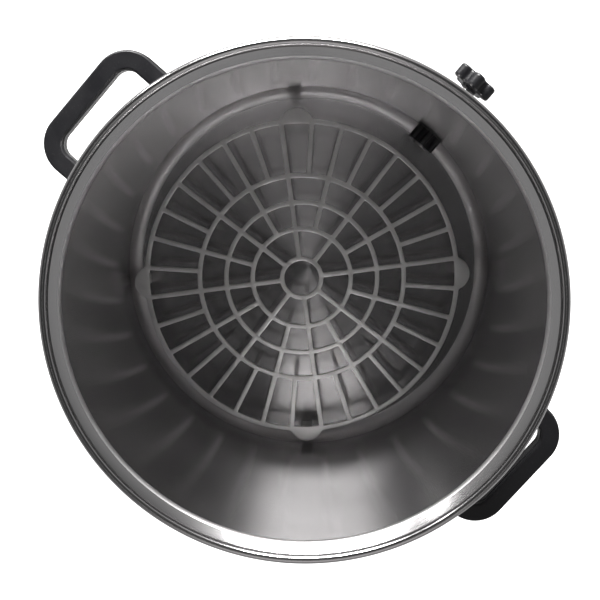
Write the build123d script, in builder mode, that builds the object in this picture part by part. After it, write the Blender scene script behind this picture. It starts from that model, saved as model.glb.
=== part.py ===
"""Tall stainless frying pot with two side handles, a loose web rack and a screw-down drain tap.

Millimetres, +Z up. The origin is on the pot's axis, at the underside of its floor.
The handles point along +X and -X and the drain tap points along -Y.
"""
import os

from build123d import *

# Pot, one sheet of one thickness
sheet_t = 1.2
pot_inner_r = 178.0
pot_inner_depth = 300.0
floor_corner_r = 14.0
flare_out = 8.6
flare_height = 7.0
flare_below_top = 2.2
bead_r = 3.2

pot_outer_r = pot_inner_r + sheet_t
rim_top_z = sheet_t + pot_inner_depth
bead_mid_r = pot_inner_r + flare_out + bead_r

# Loose rack: a flat web on four bent legs
rack_top_above_floor = 43.0
rack_t = 3.0
bar_w = 4.4
rack_side_gap = 15.7
inner_ring_radii = [19.0, 47.6, 73.2, 98.9]
spoke_steps = ((0, 1, 8), (1, 3, 16), (3, 4, 32))
rack_turn = 48.7
rack_shift_y = 8.9
leg_count = 4
tab_out = 10.0
tab_chord = 30.0
leg_w = 10.0
leg_t = 2.5
leg_inset = 6.8

tab_reach = pot_inner_r - rack_side_gap
ring_outer_edge_r = tab_reach - tab_out
outer_ring_r = ring_outer_edge_r - bar_w / 2
ring_radii = inner_ring_radii + [outer_ring_r]
rack_top_z = sheet_t + rack_top_above_floor
rack_under_z = rack_top_z - rack_t
tab_r = ((tab_chord / 2) ** 2 + tab_out**2) / (2 * tab_out)
tab_turn = rack_turn - 180 / spoke_steps[-1][2]
leg_mid_r = tab_reach - leg_inset - leg_t / 2

# Handles: a folded channel welded to two pads, with a grip screwed on from below
handle_out = 65.3
handle_w = 118.0
handle_corner_r = 28.0
handle_below_rim = 98.0
channel_w = 16.0
channel_h = 11.0
channel_t = 1.5
grip_t = 4.5
grip_inset = 0.5
grip_edge_r = 1.8
grip_end_gap = 2.0
pad_t = 1.5
pad_w = 28.0
pad_h = 34.0
grip_screw_spread = 24.0
grip_screw_r = 2.0
grip_screw_head_r = 3.8
grip_screw_head_h = 2.4
grip_screw_bite = 3.0

handle_reach = pot_outer_r + handle_out
grip_top_z = rim_top_z - handle_below_rim
channel_top_z = grip_top_z - grip_t
channel_z = channel_top_z - channel_h
pad_outer_r = pot_outer_r + pad_t
arm_mid_y = (handle_w - channel_w) / 2
handle_root = pot_inner_r / 2
handle_len = handle_reach - handle_root
handle_mid = (handle_reach + handle_root) / 2
bar_mid_x = handle_reach - channel_w / 2

# Drain tap: every part sits on one level axis that runs out along -Y
tap_above_floor = 40.0
shank_r = 8.0
inlet_r = 5.0
fit_gap = 0.05
wall_hole_gap = 0.4
gasket_r = 15.0
gasket_t = 2.0
lock_nut_t = 14.5
lock_nut_core_r = 11.6
lock_nut_lobe_r = 3.4
lock_nut_lobes = 6
shank_past_nut = 2.0
flange_r = 15.0
flange_t = 3.0
barrel_r = 12.0
barrel_len = 19.0
chamber_r = 9.0
chamber_len = 20.0
neck_r = 11.0
neck_len = 7.0
spout_r = 8.0
spout_bore_r = 5.0
spout_drop = 32.0
spout_tail_len = 16.0
spout_collar_r = 9.5
spout_collar_t = 2.5
spout_neck_r = 7.5
spout_from_seat = 5.0
screw_travel = 5.0

tap_z = sheet_t + tap_above_floor
nut_face = pot_inner_r - gasket_t
shank_end = nut_face - lock_nut_t - shank_past_nut
flange_face = pot_outer_r + gasket_t
barrel_start = flange_face + flange_t
barrel_end = barrel_start + barrel_len
neck_end = barrel_end + neck_len
seat_u = neck_end - chamber_len

# Screw-down works of the tap
washer_t = 3.0
jumper_t = 2.5
jumper_r = 7.5
jumper_pin_r = 2.5
jumper_pin_len = 6.0
jumper_gap = 0.3
stem_thread_r = 6.0
stem_thread_len = 10.0
stem_r = 4.0
run_gap = 0.06
sleeve_wall_gap = 0.4
sleeve_len = 9.0
bonnet_across_flats = 26.0
bonnet_hex_len = 11.5
bonnet_face_t = 3.0
collar_r = 10.0
collar_len = 8.0
packing_well_r = 7.5
packing_t = 3.0
gland_across_flats = 18.0
gland_head_t = 5.0
seat_screw_r = 1.5
seat_screw_head_r = 3.0
seat_screw_head_t = 1.6

jumper_u = seat_u + washer_t
stem_u = jumper_u + jumper_t + jumper_gap
thread_end = stem_u + stem_thread_len
bonnet_u = barrel_end + jumper_gap
bonnet_shoulder = neck_end + bonnet_face_t
hex_end = bonnet_u + bonnet_hex_len
collar_end = bonnet_shoulder + collar_len
packing_end = bonnet_shoulder + packing_t
gland_end = collar_end + gland_head_t

# Star knob
knob_from_gland = 2.6
knob_hub_r = 8.0
knob_hub_len = 2.5
knob_t = 14.0
knob_core_r = 13.6
knob_lobe_r = 6.2
knob_lobe_at = 14.8
knob_lobes = 5
knob_edge_r = 2.6
knob_well_r = 7.0
knob_well_depth = 3.2
cap_washer_r = 6.2
cap_washer_t = 1.0
cap_screw_r = 1.8
cap_screw_head_r = 4.0
cap_screw_head_t = 2.6
cap_screw_bite = 9.0

knob_hub_u = gland_end + knob_from_gland
knob_u = knob_hub_u + knob_hub_len
knob_end = knob_u + knob_t
knob_floor = knob_end - knob_well_depth
stem_end = knob_floor - jumper_gap


def tap_plane(distance):
    """A sketch plane across the tap's axis, this far out from the pot's axis."""
    axis_plane = Plane(origin=(0, 0, tap_z), x_dir=(1, 0, 0), z_dir=(0, -1, 0))
    return axis_plane.offset(distance)


def save(part, name):
    """Name a finished sub-part and write its STEP file."""
    part.label = name
    export_step(part, f"parts/{name}.step")


def tap_ring(start, end, outer_r, inner_r):
    """A plain ring on the tap's axis, between two distances from the pot's axis."""
    with BuildPart() as ring:
        with BuildSketch(tap_plane(start)):
            Circle(outer_r)
            Circle(inner_r, mode=Mode.SUBTRACT)
        extrude(amount=end - start)
    return ring.part


def handle_loop(side, inset):
    """The outline of a handle seen from above, shrunk by an inset all round."""
    outer_l = handle_len - 2 * inset
    outer_w = handle_w - 2 * inset
    band = channel_w - 2 * inset
    with Locations((side * handle_mid, 0)):
        RectangleRounded(outer_l, outer_w, handle_corner_r - inset)
        RectangleRounded(
            outer_l - 2 * band,
            outer_w - 2 * band,
            handle_corner_r - inset - band,
            mode=Mode.SUBTRACT,
        )


def make_channel(side):
    """Folded sheet channel, open below, with clearance holes for the grip's screws."""
    with BuildPart() as channel:
        with BuildSketch(Plane.XY.offset(channel_z)):
            handle_loop(side, 0)
            Circle(pad_outer_r, mode=Mode.SUBTRACT)
        extrude(amount=channel_h)
        with BuildSketch(Plane.XY.offset(channel_z)):
            handle_loop(side, channel_t)
            Circle(pad_outer_r, mode=Mode.SUBTRACT)
        extrude(amount=channel_h - channel_t, mode=Mode.SUBTRACT)
        with BuildSketch(Plane.XY.offset(channel_z)):
            with Locations((side * bar_mid_x, grip_screw_spread), (side * bar_mid_x, -grip_screw_spread)):
                Circle(grip_screw_r + wall_hole_gap)
        extrude(amount=channel_h, mode=Mode.SUBTRACT)
    return channel.part


def make_grip(side):
    """Moulded grip that follows the channel and stops short of the pot."""
    with BuildPart() as grip:
        with BuildSketch(Plane.XY.offset(channel_top_z)):
            handle_loop(side, grip_inset)
            Circle(pad_outer_r + grip_end_gap, mode=Mode.SUBTRACT)
        extrude(amount=grip_t)
        fillet(grip.edges().group_by(Axis.Z)[-1], grip_edge_r)
        with BuildSketch(Plane.XY.offset(channel_top_z)):
            with Locations((side * bar_mid_x, grip_screw_spread), (side * bar_mid_x, -grip_screw_spread)):
                Circle(grip_screw_r + fit_gap)
        extrude(amount=grip_screw_bite, mode=Mode.SUBTRACT)
    return grip.part


def make_pads(side):
    """Two curved weld pads, one for each arm of a handle."""
    with BuildPart() as pads:
        with BuildSketch(Plane.XY.offset(channel_z + (channel_h - pad_h) / 2)):
            with Locations((side * pot_outer_r, arm_mid_y), (side * pot_outer_r, -arm_mid_y)):
                Rectangle(pot_outer_r, pad_w)
            Circle(pad_outer_r, mode=Mode.INTERSECT)
            Circle(pot_outer_r, mode=Mode.SUBTRACT)
        extrude(amount=pad_h)
    return pads.part


os.makedirs("parts", exist_ok=True)

# Pot shell: floor, wall, flared lid seat and rolled bead, with the tap's hole
with BuildPart() as pot_shell:
    with BuildSketch(Plane.XZ):
        with BuildLine():
            inner_floor = Line((0, sheet_t), (pot_inner_r - floor_corner_r, sheet_t))
            inner_corner = RadiusArc(
                inner_floor @ 1, (pot_inner_r, sheet_t + floor_corner_r), -floor_corner_r
            )
            inner_wall = Line(inner_corner @ 1, (pot_inner_r, rim_top_z - flare_height - flare_below_top))
            inner_flare = Line(inner_wall @ 1, (pot_inner_r + flare_out, rim_top_z - flare_below_top))
            rim_edge = Line(inner_flare @ 1, (bead_mid_r, rim_top_z - bead_r))
            outer_flare = Line(rim_edge @ 1, (pot_outer_r, rim_top_z - flare_height - flare_below_top - sheet_t))
            outer_wall = Line(outer_flare @ 1, (pot_outer_r, sheet_t + floor_corner_r))
            outer_corner = RadiusArc(
                outer_wall @ 1, (pot_inner_r - floor_corner_r, 0), floor_corner_r + sheet_t
            )
            under_floor = Line(outer_corner @ 1, (0, 0))
            Line(under_floor @ 1, inner_floor @ 0)
        make_face()
        with Locations((bead_mid_r, rim_top_z - bead_r)):
            Circle(bead_r)
    revolve(axis=Axis.Z)
    with BuildSketch(tap_plane(pot_inner_r / 2)):
        Circle(shank_r + wall_hole_gap)
    extrude(amount=pot_inner_r, mode=Mode.SUBTRACT)
save(pot_shell.part, "pot_shell")

# Handles
for side, word in ((1, "right"), (-1, "left")):
    save(make_pads(side), f"handle_pads_{word}")
    save(make_channel(side), f"handle_channel_{word}")
    save(make_grip(side), f"handle_grip_{word}")

with BuildPart() as grip_screws:
    for side in (1, -1):
        for end in (1, -1):
            spot = (side * bar_mid_x, end * grip_screw_spread)
            with BuildSketch(Plane.XY.offset(channel_top_z - channel_t - grip_screw_head_h)):
                with Locations(spot):
                    Circle(grip_screw_head_r)
            extrude(amount=grip_screw_head_h)
            with BuildSketch(Plane.XY.offset(channel_top_z - channel_t)):
                with Locations(spot):
                    Circle(grip_screw_r)
            extrude(amount=channel_t + grip_screw_bite)
save(grip_screws.part, "grip_screws")

# Rack web: rings, then spokes that double in number towards the outside
with BuildPart() as rack_web:
    for ring_r in ring_radii:
        with BuildSketch(Plane.XY.offset(rack_under_z)):
            with Locations((0, rack_shift_y)):
                Circle(ring_r + bar_w / 2)
                Circle(ring_r - bar_w / 2, mode=Mode.SUBTRACT)
        extrude(amount=rack_t)
    for first, last, count in spoke_steps:
        spoke_len = ring_radii[last] - ring_radii[first]
        spoke_mid = (ring_radii[last] + ring_radii[first]) / 2
        with BuildSketch(Plane.XY.offset(rack_under_z)):
            with Locations((0, rack_shift_y)):
                with PolarLocations(spoke_mid, count, start_angle=rack_turn):
                    Rectangle(spoke_len, bar_w)
        extrude(amount=rack_t)
save(rack_web.part, "rack_web")

# Rack legs: a half-round tab outside the outer ring, bent down to the floor
with BuildPart() as rack_legs:
    with BuildSketch(Plane.XY.offset(rack_under_z)):
        with Locations((0, rack_shift_y)):
            with PolarLocations(tab_reach - tab_r, leg_count, start_angle=tab_turn):
                Circle(tab_r)
            Circle(ring_outer_edge_r, mode=Mode.SUBTRACT)
    extrude(amount=rack_t)
    with BuildSketch(Plane.XY.offset(sheet_t)):
        with Locations((0, rack_shift_y)):
            with PolarLocations(leg_mid_r, leg_count, start_angle=tab_turn):
                Rectangle(leg_t, leg_w)
    extrude(amount=rack_under_z - sheet_t)
save(rack_legs.part, "rack_legs")

# Tap body: shank through the wall, flange, barrel, threaded neck and spout
with BuildPart() as tap_body:
    with BuildSketch(tap_plane(shank_end)):
        Circle(shank_r)
    extrude(amount=flange_face - shank_end)
    with BuildSketch(tap_plane(flange_face)):
        Circle(flange_r)
    extrude(amount=flange_t)
    with BuildSketch(tap_plane(barrel_start)):
        Circle(barrel_r)
    extrude(amount=barrel_len)
    with BuildSketch(tap_plane(barrel_end)):
        Circle(neck_r)
    extrude(amount=neck_len)
    with BuildSketch(Plane.XY.offset(tap_z - spout_drop)):
        with Locations((0, -(seat_u + spout_from_seat))):
            Circle(spout_r)
    extrude(amount=spout_tail_len)
    with BuildSketch(Plane.XY.offset(tap_z - spout_drop + spout_tail_len)):
        with Locations((0, -(seat_u + spout_from_seat))):
            Circle(spout_collar_r)
    extrude(amount=spout_collar_t)
    with BuildSketch(Plane.XY.offset(tap_z - spout_drop + spout_tail_len)):
        with Locations((0, -(seat_u + spout_from_seat))):
            Circle(spout_neck_r)
    extrude(amount=spout_drop - spout_tail_len)
    with BuildSketch(tap_plane(shank_end)):
        Circle(inlet_r)
    extrude(amount=neck_end - shank_end, mode=Mode.SUBTRACT)
    with BuildSketch(tap_plane(seat_u)):
        Circle(chamber_r)
    extrude(amount=chamber_len, mode=Mode.SUBTRACT)
    with BuildSketch(Plane.XY.offset(tap_z - spout_drop)):
        with Locations((0, -(seat_u + spout_from_seat))):
            Circle(spout_bore_r)
    extrude(amount=spout_drop, mode=Mode.SUBTRACT)
save(tap_body.part, "tap_body")

# Gaskets squeezed against the curved wall, inside and out
with BuildPart() as inner_gasket:
    with BuildSketch(tap_plane(nut_face)):
        Circle(gasket_r)
        Circle(shank_r + fit_gap, mode=Mode.SUBTRACT)
    extrude(amount=2 * gasket_t)
    Cylinder(pot_inner_r, rim_top_z * 2, mode=Mode.INTERSECT)
save(inner_gasket.part, "inner_gasket")

with BuildPart() as outer_gasket:
    with BuildSketch(tap_plane(flange_face - 2 * gasket_t)):
        Circle(gasket_r)
        Circle(shank_r + fit_gap, mode=Mode.SUBTRACT)
    extrude(amount=2 * gasket_t)
    Cylinder(pot_outer_r, rim_top_z * 2, mode=Mode.SUBTRACT)
save(outer_gasket.part, "outer_gasket")

# Lobed lock nut inside the pot
with BuildPart() as lock_nut:
    with BuildSketch(tap_plane(nut_face - lock_nut_t)):
        Circle(lock_nut_core_r)
        with PolarLocations(lock_nut_core_r, lock_nut_lobes, start_angle=90):
            Circle(lock_nut_lobe_r)
        Circle(shank_r + fit_gap, mode=Mode.SUBTRACT)
    extrude(amount=lock_nut_t)
save(lock_nut.part, "lock_nut")

# Bonnet: hexagon over the neck, inner sleeve for the stem's thread, collar for the packing
with BuildPart() as bonnet_nut:
    with BuildSketch(tap_plane(bonnet_u)):
        RegularPolygon(bonnet_across_flats / 2, 6, major_radius=False)
    extrude(amount=bonnet_hex_len)
    with BuildSketch(tap_plane(hex_end)):
        Circle(collar_r)
    extrude(amount=collar_end - hex_end)
    with BuildSketch(tap_plane(bonnet_u)):
        Circle(neck_r + fit_gap)
    extrude(amount=neck_end - bonnet_u, mode=Mode.SUBTRACT)
    with BuildSketch(tap_plane(neck_end - sleeve_len)):
        Circle(chamber_r - sleeve_wall_gap)
    extrude(amount=sleeve_len)
    with BuildSketch(tap_plane(neck_end - sleeve_len)):
        Circle(stem_thread_r + run_gap)
    extrude(amount=bonnet_shoulder - neck_end + sleeve_len, mode=Mode.SUBTRACT)
    with BuildSketch(tap_plane(bonnet_shoulder)):
        Circle(packing_well_r)
    extrude(amount=collar_len, mode=Mode.SUBTRACT)
save(bonnet_nut.part, "bonnet_nut")

packing_ring = tap_ring(bonnet_shoulder, packing_end, packing_well_r - fit_gap, stem_r + run_gap)
save(packing_ring, "packing_ring")

with BuildPart() as gland_nut:
    with BuildSketch(tap_plane(packing_end)):
        Circle(packing_well_r - fit_gap)
    extrude(amount=collar_end - packing_end)
    with BuildSketch(tap_plane(collar_end)):
        RegularPolygon(gland_across_flats / 2, 6, major_radius=False)
    extrude(amount=gland_head_t)
    with BuildSketch(tap_plane(packing_end)):
        Circle(stem_r + run_gap)
    extrude(amount=gland_end - packing_end, mode=Mode.SUBTRACT)
save(gland_nut.part, "gland_nut")

# Jumper that carries the seat washer and slides without turning
with BuildPart() as jumper:
    with BuildSketch(tap_plane(jumper_u)):
        Circle(jumper_r)
    extrude(amount=jumper_t)
    with BuildSketch(tap_plane(jumper_u + jumper_t)):
        Circle(jumper_pin_r)
    extrude(amount=jumper_pin_len)
    with BuildSketch(tap_plane(jumper_u)):
        Circle(seat_screw_r + fit_gap)
    extrude(amount=jumper_t + jumper_pin_len / 2, mode=Mode.SUBTRACT)
save(jumper.part, "jumper")

seat_washer = tap_ring(seat_u, jumper_u, jumper_r, seat_screw_r + fit_gap)
save(seat_washer, "seat_washer")

with BuildPart() as seat_screw:
    with BuildSketch(tap_plane(seat_u - seat_screw_head_t)):
        Circle(seat_screw_head_r)
    extrude(amount=seat_screw_head_t)
    with BuildSketch(tap_plane(seat_u)):
        Circle(seat_screw_r)
    extrude(amount=washer_t + jumper_t + jumper_pin_len / 3)
save(seat_screw.part, "seat_screw")

# Threaded stem with a socket for the jumper's pin and a tapped outer end
with BuildPart() as tap_stem:
    with BuildSketch(tap_plane(stem_u)):
        Circle(stem_thread_r)
    extrude(amount=stem_thread_len)
    with BuildSketch(tap_plane(thread_end)):
        Circle(stem_r)
    extrude(amount=stem_end - thread_end)
    with BuildSketch(tap_plane(stem_u)):
        Circle(jumper_pin_r + run_gap)
    extrude(amount=jumper_pin_len, mode=Mode.SUBTRACT)
    with BuildSketch(tap_plane(stem_end - cap_screw_bite)):
        Circle(cap_screw_r + fit_gap)
    extrude(amount=cap_screw_bite, mode=Mode.SUBTRACT)
save(tap_stem.part, "tap_stem")

# Five-lobed star knob with a hub towards the tap and a sunk screw outside
with BuildPart() as star_knob:
    with BuildSketch(tap_plane(knob_u)) as knob_outline:
        Circle(knob_core_r)
        with PolarLocations(knob_lobe_at, knob_lobes, start_angle=90):
            Circle(knob_lobe_r)
        fillet(knob_outline.vertices(), knob_lobe_r / 2)
    extrude(amount=knob_t)
    fillet(star_knob.edges().filter_by(Plane.XZ), knob_edge_r)
    with BuildSketch(tap_plane(knob_hub_u)):
        Circle(knob_hub_r)
    extrude(amount=knob_hub_len)
    with BuildSketch(tap_plane(knob_hub_u)):
        Circle(stem_r + fit_gap)
    extrude(amount=knob_end - knob_hub_u, mode=Mode.SUBTRACT)
    with BuildSketch(tap_plane(knob_floor)):
        Circle(knob_well_r)
    extrude(amount=knob_well_depth, mode=Mode.SUBTRACT)
save(star_knob.part, "star_knob")

cap_washer = tap_ring(knob_floor, knob_floor + cap_washer_t, cap_washer_r, cap_screw_r + fit_gap)
save(cap_washer, "cap_washer")

with BuildPart() as cap_screw:
    with BuildSketch(tap_plane(stem_end - cap_screw_bite + jumper_gap)):
        Circle(cap_screw_r)
    extrude(amount=cap_screw_bite + cap_washer_t)
    with BuildSketch(tap_plane(knob_floor + cap_washer_t)):
        Circle(cap_screw_head_r)
    extrude(amount=cap_screw_head_t)
save(cap_screw.part, "cap_screw")
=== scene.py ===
"""Stainless frying pot with two side handles, a loose web rack and a screw-down drain tap."""
import math

import bmesh
import bpy
from mathutils import Matrix, Vector


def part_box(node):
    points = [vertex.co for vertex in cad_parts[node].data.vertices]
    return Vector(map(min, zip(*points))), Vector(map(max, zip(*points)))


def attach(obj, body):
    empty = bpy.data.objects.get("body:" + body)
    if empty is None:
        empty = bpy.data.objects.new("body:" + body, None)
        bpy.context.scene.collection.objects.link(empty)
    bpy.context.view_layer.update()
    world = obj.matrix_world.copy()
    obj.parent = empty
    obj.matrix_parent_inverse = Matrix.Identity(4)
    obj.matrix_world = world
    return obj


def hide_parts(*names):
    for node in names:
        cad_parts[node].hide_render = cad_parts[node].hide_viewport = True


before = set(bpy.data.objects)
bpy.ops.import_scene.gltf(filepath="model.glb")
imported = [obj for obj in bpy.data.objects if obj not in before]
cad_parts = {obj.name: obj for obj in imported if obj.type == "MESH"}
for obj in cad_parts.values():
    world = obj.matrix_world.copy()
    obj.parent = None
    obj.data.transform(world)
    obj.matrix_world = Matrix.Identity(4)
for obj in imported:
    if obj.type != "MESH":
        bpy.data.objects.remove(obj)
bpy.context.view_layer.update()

MM = 0.001

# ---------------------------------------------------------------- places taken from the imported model
pot_low, pot_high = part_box("pot_shell")
rack_low, rack_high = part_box("rack_web")
feet_low, feet_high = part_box("rack_legs")
nut_low, nut_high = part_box("lock_nut")
knob_low, knob_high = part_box("star_knob")
rim_top = pot_high[2]
rim_outer_r = pot_high[0]
floor_top = feet_low[2]
rack_middle_y = (rack_low[1] + rack_high[1]) / 2
tap_axis_z = (nut_low[2] + nut_high[2]) / 2

# Pot sheet, as drawn
sheet_t = 1.2 * MM
pot_inner_r = 178 * MM
floor_corner_r = 14 * MM
flare_out = 8.6 * MM
flare_height = 7 * MM
flare_below_top = 2.2 * MM
bead_r = 3.2 * MM
flare_bend_r = 5 * MM
seat_end_in = 0.9 * MM
seat_end_down = 0.75 * MM
flare_back = ((1.5, 0.2), (0.4, 2.2), (0, 4.5))
wall_stop = 3 * MM
wall_back_stop = 6 * MM
floor_finish_depth = 0.3 * MM
wall_rows = 8
pot_steps = 288

# Rack web, as drawn
rack_ring_radii = [r * MM for r in (19.0, 47.6, 73.2, 98.9, 150.1)]
rack_bar_w = 4.4 * MM
rack_spoke_steps = ((0, 1, 8), (1, 2, 16), (2, 3, 16), (3, 4, 32))
rack_turn = 48.7
rack_edge_r = rack_ring_radii[-1] + rack_bar_w / 2
ear_r = 16.25 * MM
ear_out = 10 * MM
ear_count = 4
ear_gap = 360 / ear_count
ear_middle_r = rack_edge_r + ear_out - ear_r
ear_turn = rack_turn - 180 / rack_spoke_steps[-1][2]
rack_leg_w = 10 * MM
rack_leg_t = 2.5 * MM
rack_leg_r = 154.25 * MM
rack_leg_lap = 0.6 * MM
rack_leg_edge_r = 0.6 * MM
web_edge_r = 0.75 * MM
web_corner_cut = 1.3 * MM


# ---------------------------------------------------------------- workbench for node trees
class Bench:
    """Places nodes in one tree and wires them together."""

    def __init__(self, tree):
        self.tree = tree
        self.count = 0

    def add(self, kind, wires=None, **settings):
        node = self.tree.nodes.new(kind)
        node.location = (self.count % 12 * 190, -(self.count // 12) * 260)
        self.count += 1
        for key, value in settings.items():
            setattr(node, key, value)
        for socket, value in (wires or {}).items():
            self.wire(value, node.inputs[socket])
        return node

    def wire(self, value, socket):
        if isinstance(value, bpy.types.NodeSocket):
            self.tree.links.new(value, socket)
        else:
            socket.default_value = value

    def math(self, operation, first, second=None, third=None, clamp=False):
        wires = {0: first}
        if second is not None:
            wires[1] = second
        if third is not None:
            wires[2] = third
        return self.add("ShaderNodeMath", wires, operation=operation, use_clamp=clamp).outputs[0]

    def spread(self, value, low, high, to_low, to_high, smooth=False):
        """A value carried from one range to another, held at the ends."""
        kind = "SMOOTHSTEP" if smooth else "LINEAR"
        node = self.add("ShaderNodeMapRange", interpolation_type=kind)
        for socket, number in zip(("Value", "From Min", "From Max", "To Min", "To Max"),
                                  (value, low, high, to_low, to_high)):
            self.wire(number, node.inputs[socket])
        return node.outputs["Result"]

    def blend(self, share, first, second):
        """A colour between two colours."""
        node = self.add("ShaderNodeMix", data_type="RGBA")
        self.wire(share, node.inputs[0])
        self.wire(first, node.inputs[6])
        self.wire(second, node.inputs[7])
        return node.outputs[2]

    def noise(self, place, scale, detail=3.0, rough=0.55):
        return self.add("ShaderNodeTexNoise",
                        {"Vector": place, "Scale": scale, "Detail": detail, "Roughness": rough}).outputs["Fac"]


def new_group(name, inputs, outputs):
    """An empty node group with named sockets, and its bench, input and output nodes."""
    tree = bpy.data.node_groups.new(name, "ShaderNodeTree")
    for title, kind, value in inputs:
        socket = tree.interface.new_socket(title, in_out="INPUT", socket_type=kind)
        if value is not None:
            socket.default_value = value
    for title, kind in outputs:
        tree.interface.new_socket(title, in_out="OUTPUT", socket_type=kind)
    bench = Bench(tree)
    return tree, bench, bench.add("NodeGroupInput"), bench.add("NodeGroupOutput")


def placed(bench, tree, wires):
    """A group node in a material, with its own values."""
    node = bench.add("ShaderNodeGroup", node_tree=tree)
    for socket, value in wires.items():
        bench.wire(value, node.inputs[socket])
    return node.outputs


# ---------------------------------------------------------------- effects shared by several finishes
def make_turned_lines():
    """Fine lines left by polishing round an axis, with a share of deeper ones."""
    tree, bench, given, out = new_group(
        "turned_lines",
        [("Place", "NodeSocketVector", None), ("Line pitch", "NodeSocketFloat", 900.0),
         ("Line length", "NodeSocketFloat", 3.0)],
        [("Fine", "NodeSocketFloat"), ("Broad", "NodeSocketFloat"), ("Height", "NodeSocketFloat")])
    x, y, z = bench.add("ShaderNodeSeparateXYZ", {0: given.outputs["Place"]}).outputs
    across = bench.add("ShaderNodeCombineXYZ", {0: x, 1: y})
    reach = bench.add("ShaderNodeVectorMath", {0: across.outputs[0]}, operation="LENGTH").outputs["Value"]
    turn = bench.add("ShaderNodeVectorMath", {0: across.outputs[0]}, operation="NORMALIZE").outputs[0]
    around = bench.add("ShaderNodeVectorMath", {0: turn, 3: given.outputs["Line length"]}, operation="SCALE")
    turn_x, turn_y, _ = bench.add("ShaderNodeSeparateXYZ", {0: around.outputs[0]}).outputs
    along = bench.math("ADD", reach, z)
    fine_step = bench.math("MULTIPLY", along, given.outputs["Line pitch"])
    broad_step = bench.math("MULTIPLY", fine_step, 0.17)
    fine_place = bench.add("ShaderNodeCombineXYZ", {0: turn_x, 1: turn_y, 2: fine_step}).outputs[0]
    broad_place = bench.add("ShaderNodeCombineXYZ", {0: turn_x, 1: turn_y, 2: broad_step}).outputs[0]
    fine = bench.noise(fine_place, 1.0, 2.0, 0.6)
    broad = bench.noise(broad_place, 1.0, 3.0)
    height = bench.math("ADD", bench.math("MULTIPLY", fine, 0.6), bench.math("MULTIPLY", broad, 0.4))
    bench.wire(fine, out.inputs["Fine"])
    bench.wire(broad, out.inputs["Broad"])
    bench.wire(height, out.inputs["Height"])
    return tree


def make_handling_marks():
    """Cloudy patches, smears and specks that handling leaves on metal and plastic."""
    tree, bench, given, out = new_group(
        "handling_marks",
        [("Place", "NodeSocketVector", None), ("Patch scale", "NodeSocketFloat", 9.0),
         ("Speck scale", "NodeSocketFloat", 420.0)],
        [("Cloud", "NodeSocketFloat"), ("Specks", "NodeSocketFloat")])
    cloud = bench.noise(given.outputs["Place"], given.outputs["Patch scale"], 4.0, 0.6)
    speck = bench.noise(given.outputs["Place"], given.outputs["Speck scale"], 2.0, 0.5)
    bench.wire(bench.spread(cloud, 0.32, 0.68, 0.0, 1.0, smooth=True), out.inputs["Cloud"])
    bench.wire(bench.spread(speck, 0.62, 0.74, 0.0, 1.0, smooth=True), out.inputs["Specks"])
    return tree


def make_rubbed_edges():
    """A mask of the edges that rub, found from how far the rounded normal leaves the true one."""
    tree, bench, given, out = new_group(
        "rubbed_edges",
        [("Place", "NodeSocketVector", None), ("Breakup", "NodeSocketFloat", 180.0)],
        [("Edge", "NodeSocketFloat")])
    rounded = bench.add("ShaderNodeBevel", samples=4)
    rounded.inputs["Radius"].default_value = 0.7 * MM
    true_way = bench.add("ShaderNodeNewGeometry").outputs["Normal"]
    match = bench.add("ShaderNodeVectorMath", {0: rounded.outputs[0], 1: true_way}, operation="DOT_PRODUCT")
    edge = bench.spread(match.outputs["Value"], 0.995, 0.86, 0.0, 1.0)
    breakup = bench.noise(given.outputs["Place"], given.outputs["Breakup"], 3.0)
    patchy = bench.spread(breakup, 0.35, 0.65, 0.25, 1.0)
    bench.wire(bench.math("MULTIPLY", edge, patchy, clamp=True), out.inputs["Edge"])
    return tree


def make_moulded_grain():
    """The fine pebbled skin of moulded plastic."""
    tree, bench, given, out = new_group(
        "moulded_grain",
        [("Place", "NodeSocketVector", None), ("Grain scale", "NodeSocketFloat", 1500.0)],
        [("Height", "NodeSocketFloat")])
    pebbles = bench.add("ShaderNodeTexVoronoi",
                        {"Vector": given.outputs["Place"], "Scale": given.outputs["Grain scale"]})
    soft = bench.noise(given.outputs["Place"], bench.math("MULTIPLY", given.outputs["Grain scale"], 0.4), 2.0)
    pebble_share = bench.math("MULTIPLY", pebbles.outputs["Distance"], 0.6)
    soft_share = bench.math("MULTIPLY", soft, 0.4)
    bench.wire(bench.math("ADD", pebble_share, soft_share), out.inputs["Height"])
    return tree


turned_lines = make_turned_lines()
handling_marks = make_handling_marks()
rubbed_edges = make_rubbed_edges()
moulded_grain = make_moulded_grain()


# ---------------------------------------------------------------- finishes
def new_finish(name):
    """A material with an empty bench, its main shader and the place on the part in metres."""
    finish = bpy.data.materials.new(name)
    finish.use_nodes = True
    finish.node_tree.nodes.clear()
    bench = Bench(finish.node_tree)
    shader = bench.add("ShaderNodeBsdfPrincipled")
    bench.add("ShaderNodeOutputMaterial", {"Surface": shader.outputs[0]})
    place = bench.add("ShaderNodeTexCoord").outputs["Object"]
    return finish, bench, shader, place


def bumped(bench, height, strength, depth):
    return bench.add("ShaderNodeBump", {"Height": height, "Strength": strength, "Distance": depth}).outputs[0]


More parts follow.
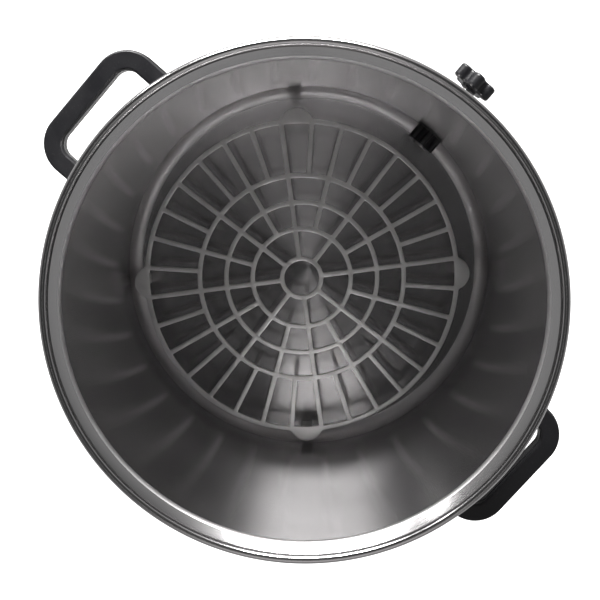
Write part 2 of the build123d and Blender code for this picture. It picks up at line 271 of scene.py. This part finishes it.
def turned_steel(name, bright, dull, rough, pitch, length, depth, relief=0.2, stretch=0.0, lathe_axis=None):
    """Steel polished round an axis: lines, cloudy handling marks and a stretched gloss across the lines."""
    finish, bench, shader, place = new_finish(name)
    if lathe_axis is not None:
        turned = bench.add("ShaderNodeMapping", {"Vector": place}, vector_type="TEXTURE")
        turned.inputs["Location"].default_value = lathe_axis
        turned.inputs["Rotation"].default_value = (math.pi / 2, 0, 0)
        lathe_place = turned.outputs[0]
    else:
        lathe_place = place
    lines = placed(bench, turned_lines, {"Place": lathe_place, "Line pitch": pitch, "Line length": length})
    marks = placed(bench, handling_marks, {"Place": place})
    line_tone = bench.math("MULTIPLY", lines["Broad"], 0.55)
    cloud_tone = bench.math("MULTIPLY", marks["Cloud"], 0.45)
    tone = bench.math("ADD", line_tone, cloud_tone)
    bench.wire(bench.blend(tone, dull, bright), shader.inputs["Base Color"])
    low, high = rough
    line_gloss = bench.math("MULTIPLY", lines["Fine"], 0.6)
    cloud_gloss = bench.math("MULTIPLY", marks["Cloud"], 0.4)
    gloss = bench.math("ADD", line_gloss, cloud_gloss)
    bench.wire(bench.spread(gloss, 0.25, 0.8, low, high), shader.inputs["Roughness"])
    bench.wire(bumped(bench, lines["Height"], relief, depth), shader.inputs["Normal"])
    shader.inputs["Metallic"].default_value = 1.0
    if stretch:
        shader.inputs["Anisotropic"].default_value = stretch
        shader.inputs["Anisotropic Rotation"].default_value = 0.25
        way = bench.add("ShaderNodeTangent", direction_type="RADIAL", axis="Z")
        bench.wire(way.outputs[0], shader.inputs["Tangent"])
    return finish


def satin_steel(name, bright, dull, rough, depth=0.02 * MM):
    """Pressed or cast steel with a fine satin skin, small pits and brighter rubbed edges."""
    finish, bench, shader, place = new_finish(name)
    marks = placed(bench, handling_marks, {"Place": place, "Patch scale": 24.0, "Speck scale": 900.0})
    edges = placed(bench, rubbed_edges, {"Place": place})
    grain = placed(bench, moulded_grain, {"Place": place, "Grain scale": 2200.0})
    body = bench.blend(marks["Cloud"], dull, bright)
    lifted = [min(1.0, c * 1.22) for c in bright[:3]] + [1.0]
    rubbed = bench.math("MULTIPLY", edges["Edge"], 0.6)
    bench.wire(bench.blend(rubbed, body, lifted), shader.inputs["Base Color"])
    low, high = rough
    bench.wire(bench.spread(marks["Cloud"], 0.0, 1.0, high, low), shader.inputs["Roughness"])
    bench.wire(bumped(bench, grain["Height"], 0.3, depth), shader.inputs["Normal"])
    shader.inputs["Metallic"].default_value = 1.0
    return finish


def black_moulding(name, tone, worn, rough, grain_scale, grain_depth):
    """Black plastic: pebbled skin, dusty patches and slightly greyed edges."""
    finish, bench, shader, place = new_finish(name)
    marks = placed(bench, handling_marks, {"Place": place, "Patch scale": 30.0, "Speck scale": 700.0})
    edges = placed(bench, rubbed_edges, {"Place": place})
    grain = placed(bench, moulded_grain, {"Place": place, "Grain scale": grain_scale})
    dusty = bench.blend(bench.math("MULTIPLY", marks["Specks"], 0.35), tone, worn)
    rubbed = bench.math("MULTIPLY", edges["Edge"], 0.55)
    bench.wire(bench.blend(rubbed, dusty, worn), shader.inputs["Base Color"])
    low, high = rough
    bench.wire(bench.spread(marks["Cloud"], 0.0, 1.0, low, high), shader.inputs["Roughness"])
    bench.wire(bumped(bench, grain["Height"], 0.4, grain_depth), shader.inputs["Normal"])
    return finish


def soft_seal(name, tone, deep, rough):
    """Rubber, silicone or packing: matt, mottled and a little dusty."""
    finish, bench, shader, place = new_finish(name)
    marks = placed(bench, handling_marks, {"Place": place, "Patch scale": 60.0, "Speck scale": 1100.0})
    grain = placed(bench, moulded_grain, {"Place": place, "Grain scale": 900.0})
    bench.wire(bench.blend(marks["Cloud"], deep, tone), shader.inputs["Base Color"])
    bench.wire(bench.spread(marks["Cloud"], 0.0, 1.0, rough, rough + 0.15), shader.inputs["Roughness"])
    bench.wire(bumped(bench, grain["Height"], 0.3, 0.03 * MM), shader.inputs["Normal"])
    return finish


tap_axis_start = (0.0, 0.0, tap_axis_z)

pot_finish = turned_steel("pot_steel_brushed", (0.6, 0.59, 0.595, 1), (0.54, 0.53, 0.535, 1),
                          (0.24, 0.265), 2600.0, 3.0, 0.012 * MM, relief=1.0, stretch=1.0)
pot_floor_finish = turned_steel("pot_floor_spun", (0.6, 0.59, 0.595, 1), (0.5, 0.49, 0.495, 1),
                                (0.22, 0.27), 1500.0, 3.0, 0.004 * MM, stretch=0.9)
pot_corner_finish = turned_steel("pot_corner_drawn", (0.6, 0.592, 0.595, 1), (0.54, 0.53, 0.535, 1),
                                 (0.42, 0.5), 1800.0, 3.0, 0.003 * MM)
pot_rim_finish = turned_steel("pot_rim_rolled", (0.6, 0.592, 0.595, 1), (0.56, 0.55, 0.555, 1),
                              (0.17, 0.2), 1800.0, 3.0, 0.001 * MM)
pad_finish = satin_steel("weld_pad_steel", (0.58, 0.57, 0.56, 1), (0.4, 0.39, 0.38, 1), (0.3, 0.45))
# Painted shade: the steel handle channel is coloured near-black, standing in for the dark reflection of the
# pot's shaded side that its steel shows.
channel_painted_shade_finish = black_moulding("handle_steel_black_painted_shade", (0.02, 0.02, 0.022, 1), (0.1, 0.1, 0.1, 1),
                                (0.16, 0.26), 900.0, 0.01 * MM)
screw_finish = satin_steel("screw_steel_plated", (0.6, 0.6, 0.6, 1), (0.45, 0.45, 0.45, 1), (0.2, 0.35))
rack_finish = satin_steel("rack_steel_satin", (0.78, 0.775, 0.765, 1), (0.7, 0.695, 0.685, 1), (0.5, 0.6))
tap_finish = turned_steel("tap_metal_plated", (0.66, 0.65, 0.65, 1), (0.55, 0.54, 0.54, 1),
                          (0.12, 0.26), 3500.0, 2.0, 0.008 * MM, lathe_axis=tap_axis_start)
brass_finish = turned_steel("brass_works_turned", (0.78, 0.57, 0.28, 1), (0.6, 0.42, 0.2, 1),
                            (0.2, 0.36), 4000.0, 2.0, 0.01 * MM, lathe_axis=tap_axis_start)
grip_finish = black_moulding("grip_black_moulded", (0.011, 0.011, 0.013, 1), (0.06, 0.06, 0.06, 1),
                             (0.36, 0.5), 1400.0, 0.03 * MM)
knob_finish = black_moulding("knob_black_moulded", (0.014, 0.014, 0.016, 1), (0.07, 0.07, 0.075, 1),
                             (0.28, 0.42), 1700.0, 0.02 * MM)
nut_finish = black_moulding("nut_black_moulded", (0.01, 0.01, 0.011, 1), (0.05, 0.05, 0.05, 1),
                            (0.3, 0.45), 1700.0, 0.02 * MM)
silicone_finish = soft_seal("silicone_seal_black", (0.03, 0.03, 0.031, 1), (0.02, 0.02, 0.02, 1), 0.45)
rubber_finish = soft_seal("seat_rubber_black", (0.02, 0.02, 0.02, 1), (0.012, 0.012, 0.012, 1), 0.6)
packing_finish = soft_seal("packing_graphite", (0.07, 0.07, 0.075, 1), (0.035, 0.035, 0.04, 1), 0.6)

node_finishes = {
    "pot_shell": pot_finish, "handle_pads_left": pad_finish, "handle_pads_right": pad_finish,
    "handle_channel_left": channel_painted_shade_finish, "handle_channel_right": channel_painted_shade_finish,
    "handle_grip_left": grip_finish, "handle_grip_right": grip_finish, "grip_screws": screw_finish,
    "rack_web": rack_finish, "rack_legs": rack_finish, "tap_body": tap_finish,
    "inner_gasket": silicone_finish, "outer_gasket": silicone_finish, "lock_nut": nut_finish,
    "bonnet_nut": tap_finish, "packing_ring": packing_finish, "gland_nut": tap_finish,
    "jumper": brass_finish, "seat_washer": rubber_finish, "seat_screw": brass_finish,
    "tap_stem": tap_finish, "star_knob": knob_finish, "cap_washer": screw_finish,
    "cap_screw": screw_finish,
}
for node_name, finish in node_finishes.items():
    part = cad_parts[node_name]
    part.data.materials.clear()
    part.data.materials.append(finish)


# ---------------------------------------------------------------- mesh helpers
def add_piece(name, mesh, body, slot_name, finish, *stands_for):
    """Put a finished mesh in the scene, riding on its body."""
    piece = bpy.data.objects.new(name, mesh)
    bpy.context.scene.collection.objects.link(piece)
    mesh.materials.clear()
    mesh.materials.append(finish)
    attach(piece, body)
    if stands_for:
        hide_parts(*stands_for)
    return piece


def smooth(mesh, angle=32):
    mesh.polygons.foreach_set("use_smooth", [True] * len(mesh.polygons))
    mesh.set_sharp_from_angle(angle=math.radians(angle))
    mesh.update()


def arc(middle_r, middle_z, radius, start, end, steps):
    """Points on an arc in the (radius, height) plane, angles in degrees."""
    points = []
    for i in range(steps + 1):
        a = math.radians(start + (end - start) * i / steps)
        points.append((middle_r + radius * math.cos(a), middle_z + radius * math.sin(a)))
    return points


def spun(name, outline, steps):
    """A mesh turned from an outline of (radius, height) points that starts and ends on the axis."""
    mesh = bpy.data.meshes.new(name)
    work = bmesh.new()
    rows = []
    for radius, height in outline:
        if radius < 1e-6:
            rows.append([work.verts.new((0, 0, height))] * steps)
        else:
            rows.append([work.verts.new((radius * math.cos(2 * math.pi * i / steps),
                                         radius * math.sin(2 * math.pi * i / steps), height))
                         for i in range(steps)])
    for low, high in zip(rows, rows[1:]):
        for i in range(steps):
            j = (i + 1) % steps
            corners = []
            for vert in (low[i], low[j], high[j], high[i]):
                if vert not in corners:
                    corners.append(vert)
            work.faces.new(corners)
    bmesh.ops.recalc_face_normals(work, faces=work.faces)
    work.to_mesh(mesh)
    work.free()
    return mesh


# ---------------------------------------------------------------- pot
def make_pot():
    """The pot's one sheet: floor, wall, flared lid seat and rolled bead."""
    bead_mid = (rim_outer_r - bead_r, rim_top - bead_r)
    flare_foot = rim_top - flare_height - flare_below_top
    inside = [(0, floor_top)] + [(r * MM, floor_top) for r in (12, 30, 60, 90, 120, 150)]
    inside += arc(pot_inner_r - floor_corner_r, floor_top + floor_corner_r, floor_corner_r, -90, 0, 14)
    wall_foot = floor_top + floor_corner_r
    wall_run = flare_foot - wall_foot - wall_stop
    inside += [(pot_inner_r, wall_foot + wall_run * i / wall_rows) for i in range(1, wall_rows + 1)]
    flare_turn = math.degrees(math.atan2(flare_out, flare_height))
    bend_run = flare_bend_r * math.tan(math.radians(flare_turn) / 2)
    bend = arc(pot_inner_r + flare_bend_r, flare_foot - bend_run, flare_bend_r, 180, 180 - flare_turn, 6)
    inside = inside[:-1] + bend
    inside.append((pot_inner_r + flare_out - seat_end_in, rim_top - flare_below_top - seat_end_down))
    bead = arc(bead_mid[0], bead_mid[1], bead_r, 176, -160, 28)
    outer_r = pot_inner_r + sheet_t
    outside = [(outer_r + out * MM, flare_foot - down * MM) for out, down in flare_back]
    back_top = flare_foot - wall_back_stop
    outside += [(outer_r, back_top - (back_top - wall_foot) * i / wall_rows) for i in range(wall_rows + 1)]
    outside += arc(pot_inner_r - floor_corner_r, wall_foot, floor_corner_r + sheet_t, 0, -90, 12)[1:]
    outside += [(r * MM, 0) for r in (140, 100, 60, 20)] + [(0, 0)]
    mesh = spun("pot_sheet", inside + bead + outside, pot_steps)
    smooth(mesh, 38)
    add_piece("pot_sheet", mesh, "pot", "pot_steel", pot_finish, "pot_shell")
    for finish in (pot_floor_finish, pot_corner_finish, pot_rim_finish):
        mesh.materials.append(finish)
    on_floor, on_bends, on_rim = 1, 2, 3
    for face in mesh.polygons:
        height = face.center.z
        if height < floor_top + floor_finish_depth:
            face.material_index = on_floor
        elif height < wall_foot or abs(height - flare_foot) < bend_run:
            face.material_index = on_bends
        elif height > flare_foot:
            face.material_index = on_rim


make_pot()


# ---------------------------------------------------------------- rack
def polar(radius, degrees):
    return (radius * math.cos(math.radians(degrees)), radius * math.sin(math.radians(degrees)))


def eased_corners(sides, cut):
    """Join runs of points into one loop, with each corner eased over a short cut."""
    loop = []
    trimmed = []
    for run in sides:
        start, end = Vector(run[0]), Vector(run[-1])
        start_way = (Vector(run[1]) - start).normalized()
        end_way = (Vector(run[-2]) - end).normalized()
        trimmed.append([start + start_way * cut] + [Vector(p) for p in run[1:-1]] + [end + end_way * cut])
    for i, run in enumerate(trimmed):
        loop += run
        corner = Vector(sides[i][-1])
        after = trimmed[(i + 1) % len(trimmed)][0]
        for t in (0.25, 0.5, 0.75):
            loop.append((1 - t) ** 2 * run[-1] + 2 * t * (1 - t) * corner + t * t * after)
    return [(p.x, p.y) for p in loop]


def cut_plate(name, loops, thickness, rounding):
    """A flat plate with holes and rounded edges, lying on z = 0. The first loop is the outside."""
    curve = bpy.data.curves.new(name, "CURVE")
    curve.dimensions = "2D"
    curve.fill_mode = "BOTH"
    curve.extrude = thickness / 2 - rounding
    curve.bevel_depth = rounding
    curve.bevel_resolution = 3
    curve.offset = -rounding
    for i, loop in enumerate(loops):
        area = sum(a[0] * b[1] - b[0] * a[1] for a, b in zip(loop, loop[1:] + loop[:1]))
        if (area > 0) != (i == 0):
            loop = loop[::-1]
        spline = curve.splines.new("POLY")
        spline.points.add(len(loop) - 1)
        for point, (x, y) in zip(spline.points, loop):
            point.co = (x, y, 0, 1)
        spline.use_cyclic_u = True
    pattern = bpy.data.objects.new(name, curve)
    bpy.context.scene.collection.objects.link(pattern)
    mesh = bpy.data.meshes.new_from_object(pattern.evaluated_get(bpy.context.evaluated_depsgraph_get()))
    bpy.data.objects.remove(pattern)
    bpy.data.curves.remove(curve)
    work = bmesh.new()
    work.from_mesh(mesh)
    bmesh.ops.remove_doubles(work, verts=work.verts, dist=0.005 * MM)
    bmesh.ops.translate(work, verts=work.verts, vec=(0, 0, thickness / 2))
    bmesh.ops.recalc_face_normals(work, faces=work.faces)
    work.to_mesh(mesh)
    work.free()
    mesh.name = name
    return mesh


def rack_edge_radius(degrees):
    """How far the rack's edge reaches in one direction: the outer ring, or a half-round ear."""
    off_ear = (degrees - ear_turn + ear_gap / 2) % ear_gap - ear_gap / 2
    side_step = ear_middle_r * math.sin(math.radians(off_ear))
    if abs(side_step) >= ear_r:
        return rack_edge_r
    ear_reach = ear_middle_r * math.cos(math.radians(off_ear)) + math.sqrt(ear_r ** 2 - side_step ** 2)
    return max(rack_edge_r, ear_reach)


def make_rack():
    """The web of rings and spokes with its four ears, and the four legs under them."""
    half = rack_bar_w / 2
    outline = [polar(rack_edge_radius(i * 0.5), i * 0.5) for i in range(720)]
    hub_hole = [polar(rack_ring_radii[0] - half, i * 7.5) for i in range(48)]
    loops = [outline, hub_hole]
    for first, last, count in rack_spoke_steps:
        inner, outer = rack_ring_radii[first] + half, rack_ring_radii[last] - half
        for k in range(count):
            start, end = rack_turn + 360 * k / count, rack_turn + 360 * (k + 1) / count
            near = math.degrees(math.asin(half / inner))
            far = math.degrees(math.asin(half / outer))
            inner_run = [polar(inner, start + near + (end - start - 2 * near) * i / 6) for i in range(7)]
            outer_run = [polar(outer, end - far - (end - start - 2 * far) * i / 10) for i in range(11)]
            rising = [inner_run[-1], tuple((Vector(inner_run[-1]) + Vector(outer_run[0])) / 2), outer_run[0]]
            falling = [outer_run[-1], tuple((Vector(inner_run[0]) + Vector(outer_run[-1])) / 2), inner_run[0]]
            loops.append(eased_corners([inner_run, rising, outer_run, falling], web_corner_cut))
    rack_t = rack_high[2] - rack_low[2]
    mesh = cut_plate("rack_web_plate", loops, rack_t, web_edge_r)
    mesh.transform(Matrix.Translation((0, rack_middle_y, rack_low[2])))
    smooth(mesh, 50)
    add_piece("rack_web_plate", mesh, "rack", "rack_steel", rack_finish, "rack_web")
    legs = bpy.data.meshes.new("rack_bent_legs")
    work = bmesh.new()
    leg_height = rack_low[2] - floor_top + rack_leg_lap
    for k in range(ear_count):
        made = bmesh.ops.create_cube(work, size=1)["verts"]
        turn = Matrix.Rotation(math.radians(ear_turn + ear_gap * k), 4, "Z")
        size = Matrix.Diagonal((rack_leg_t, rack_leg_w, leg_height, 1))
        place = Matrix.Translation((rack_leg_r, 0, floor_top + leg_height / 2))
        whole = Matrix.Translation((0, rack_middle_y, 0)) @ turn @ place @ size
        bmesh.ops.transform(work, verts=made, matrix=whole)
    bmesh.ops.bevel(work, geom=list(work.edges), offset=rack_leg_edge_r, segments=3,
                    affect="EDGES", profile=0.5)
    work.to_mesh(legs)
    work.free()
    smooth(legs, 50)
    add_piece("rack_bent_legs", legs, "rack", "rack_steel", rack_finish, "rack_legs")


make_rack()

# ---------------------------------------------------------------- floor, light and camera
stage_mesh = bpy.data.meshes.new("studio_floor")
stage_mesh.from_pydata([(-6, -6, 0), (6, -6, 0), (6, 6, 0), (-6, 6, 0)], [], [(0, 1, 2, 3)])
studio_floor = bpy.data.objects.new("studio_floor", stage_mesh)
bpy.context.scene.collection.objects.link(studio_floor)
studio_floor.location.z = -0.2 * MM
floor_glow_seen = 1.6
floor_glow_on_metal = 0.1
floor_finish, floor_bench, floor_shader, _ = new_finish("studio_floor_white")
floor_shader.inputs["Base Color"].default_value = (0.3, 0.3, 0.3, 1)
floor_shader.inputs["Roughness"].default_value = 0.8
floor_shader.inputs["Emission Color"].default_value = (1, 1, 1, 1)
floor_seen = floor_bench.add("ShaderNodeLightPath").outputs["Is Camera Ray"]
floor_bench.wire(floor_bench.spread(floor_seen, 0.0, 1.0, floor_glow_on_metal, floor_glow_seen),
                 floor_shader.inputs["Emission Strength"])
stage_mesh.materials.append(floor_finish)

view_up = Vector((0.6587, -0.7524, 0.0))
lens_mm = 62.04
camera_place = Vector((61.06 * MM, -89.51 * MM, rim_top + 738.5 * MM))
camera_aim = Vector((6.18 * MM, -3.76 * MM, rim_top))


def make_camera():
    data = bpy.data.cameras.new("studio_camera")
    data.lens = lens_mm
    data.sensor_width = 36
    camera = bpy.data.objects.new("studio_camera", data)
    bpy.context.scene.collection.objects.link(camera)
    ahead = (camera_aim - camera_place).normalized()
    right = ahead.cross(view_up).normalized()
    up = right.cross(ahead)
    turn = Matrix((right, up, -ahead)).transposed()
    camera.matrix_world = Matrix.Translation(camera_place) @ turn.to_4x4()
    bpy.context.scene.camera = camera


make_camera()

# Soft lamps round the studio. Turns are counted from the side the camera's top edge faces, falls from straight
# overhead, both in degrees: middle turn, half width, highest fall, lowest fall, edge, strength, colour.
soft_lamps = (
    (95 - 90, 18, 60, 67, 4.0, 95.0, (1.0, 0.99, 0.985)),
    (95 - 90, 17, 67, 88, 4.0, 13.0, (1.0, 0.99, 0.985)),
    (129 - 90, 1.2, 60, 88, 0.8, 16.0, (1.0, 0.99, 0.985)),
    (266 - 90, 11, 9.2, 13.4, 1.5, 0.9, (1.0, 1.0, 1.0)),
    (272 - 90, 26, 20, 60, 24.0, 0.58, (1.0, 0.97, 0.965)),
    (90 - 90, 14, 4, 14, 4.0, 0.25, (1.0, 0.94, 0.93)),
    (0, 181, 60, 84, 8.0, 0.27, (1.0, 1.0, 1.0)),
)
studio_dimness = 0.045
backdrop_tone = (0.93, 0.93, 0.93, 1)


def make_studio():
    """A dim room with soft lamps, seen as a pale backdrop by the camera itself."""
    world = bpy.data.worlds.new("studio")
    bpy.context.scene.world = world
    world.use_nodes = True
    world.node_tree.nodes.clear()
    bench = Bench(world.node_tree)
    way = bench.add("ShaderNodeTexCoord").outputs["Generated"]
    x, y, z = bench.add("ShaderNodeSeparateXYZ", {0: way}).outputs
    fall = bench.math("MULTIPLY", bench.math("ARCCOSINE", z), 180 / math.pi)
    top_turn = math.degrees(math.atan2(view_up.y, view_up.x))
    glow = (studio_dimness,) * 3
    for turn, half, highest, lowest, edge, strength, colour in soft_lamps:
        turned = bench.add("ShaderNodeVectorRotate", {"Vector": way}, rotation_type="Z_AXIS")
        turned.inputs["Angle"].default_value = -math.radians(top_turn + turn)
        side_x, side_y, _ = bench.add("ShaderNodeSeparateXYZ", {0: turned.outputs[0]}).outputs
        off_turn = bench.math("ABSOLUTE", bench.math("ARCTAN2", side_y, side_x))
        off = bench.math("MULTIPLY", off_turn, 180 / math.pi)
        wide = bench.spread(off, half - edge / 2, half + edge / 2, 1.0, 0.0, smooth=True)
        below = bench.spread(fall, highest - edge / 2, highest + edge / 2, 0.0, 1.0, smooth=True)
        above = bench.spread(fall, lowest - edge / 2, lowest + edge / 2, 1.0, 0.0, smooth=True)
        mask = bench.math("MULTIPLY", wide, bench.math("MULTIPLY", below, above))
        lamp = bench.add("ShaderNodeVectorMath", {0: tuple(c * strength for c in colour)}, operation="SCALE")
        bench.wire(mask, lamp.inputs["Scale"])
        total = bench.add("ShaderNodeVectorMath", {1: lamp.outputs[0]}, operation="ADD")
        bench.wire(glow, total.inputs[0])
        glow = total.outputs[0]
    lit = bench.add("ShaderNodeBackground", {"Color": glow, "Strength": 1.0})
    backdrop = bench.add("ShaderNodeBackground", {"Color": backdrop_tone, "Strength": 1.0})
    seen = bench.add("ShaderNodeLightPath").outputs["Is Camera Ray"]
    both = bench.add("ShaderNodeMixShader", {0: seen, 1: lit.outputs[0], 2: backdrop.outputs[0]})
    bench.add("ShaderNodeOutputWorld", {"Surface": both.outputs[0]})


make_studio()

bpy.context.scene.view_settings.view_transform = "Standard"
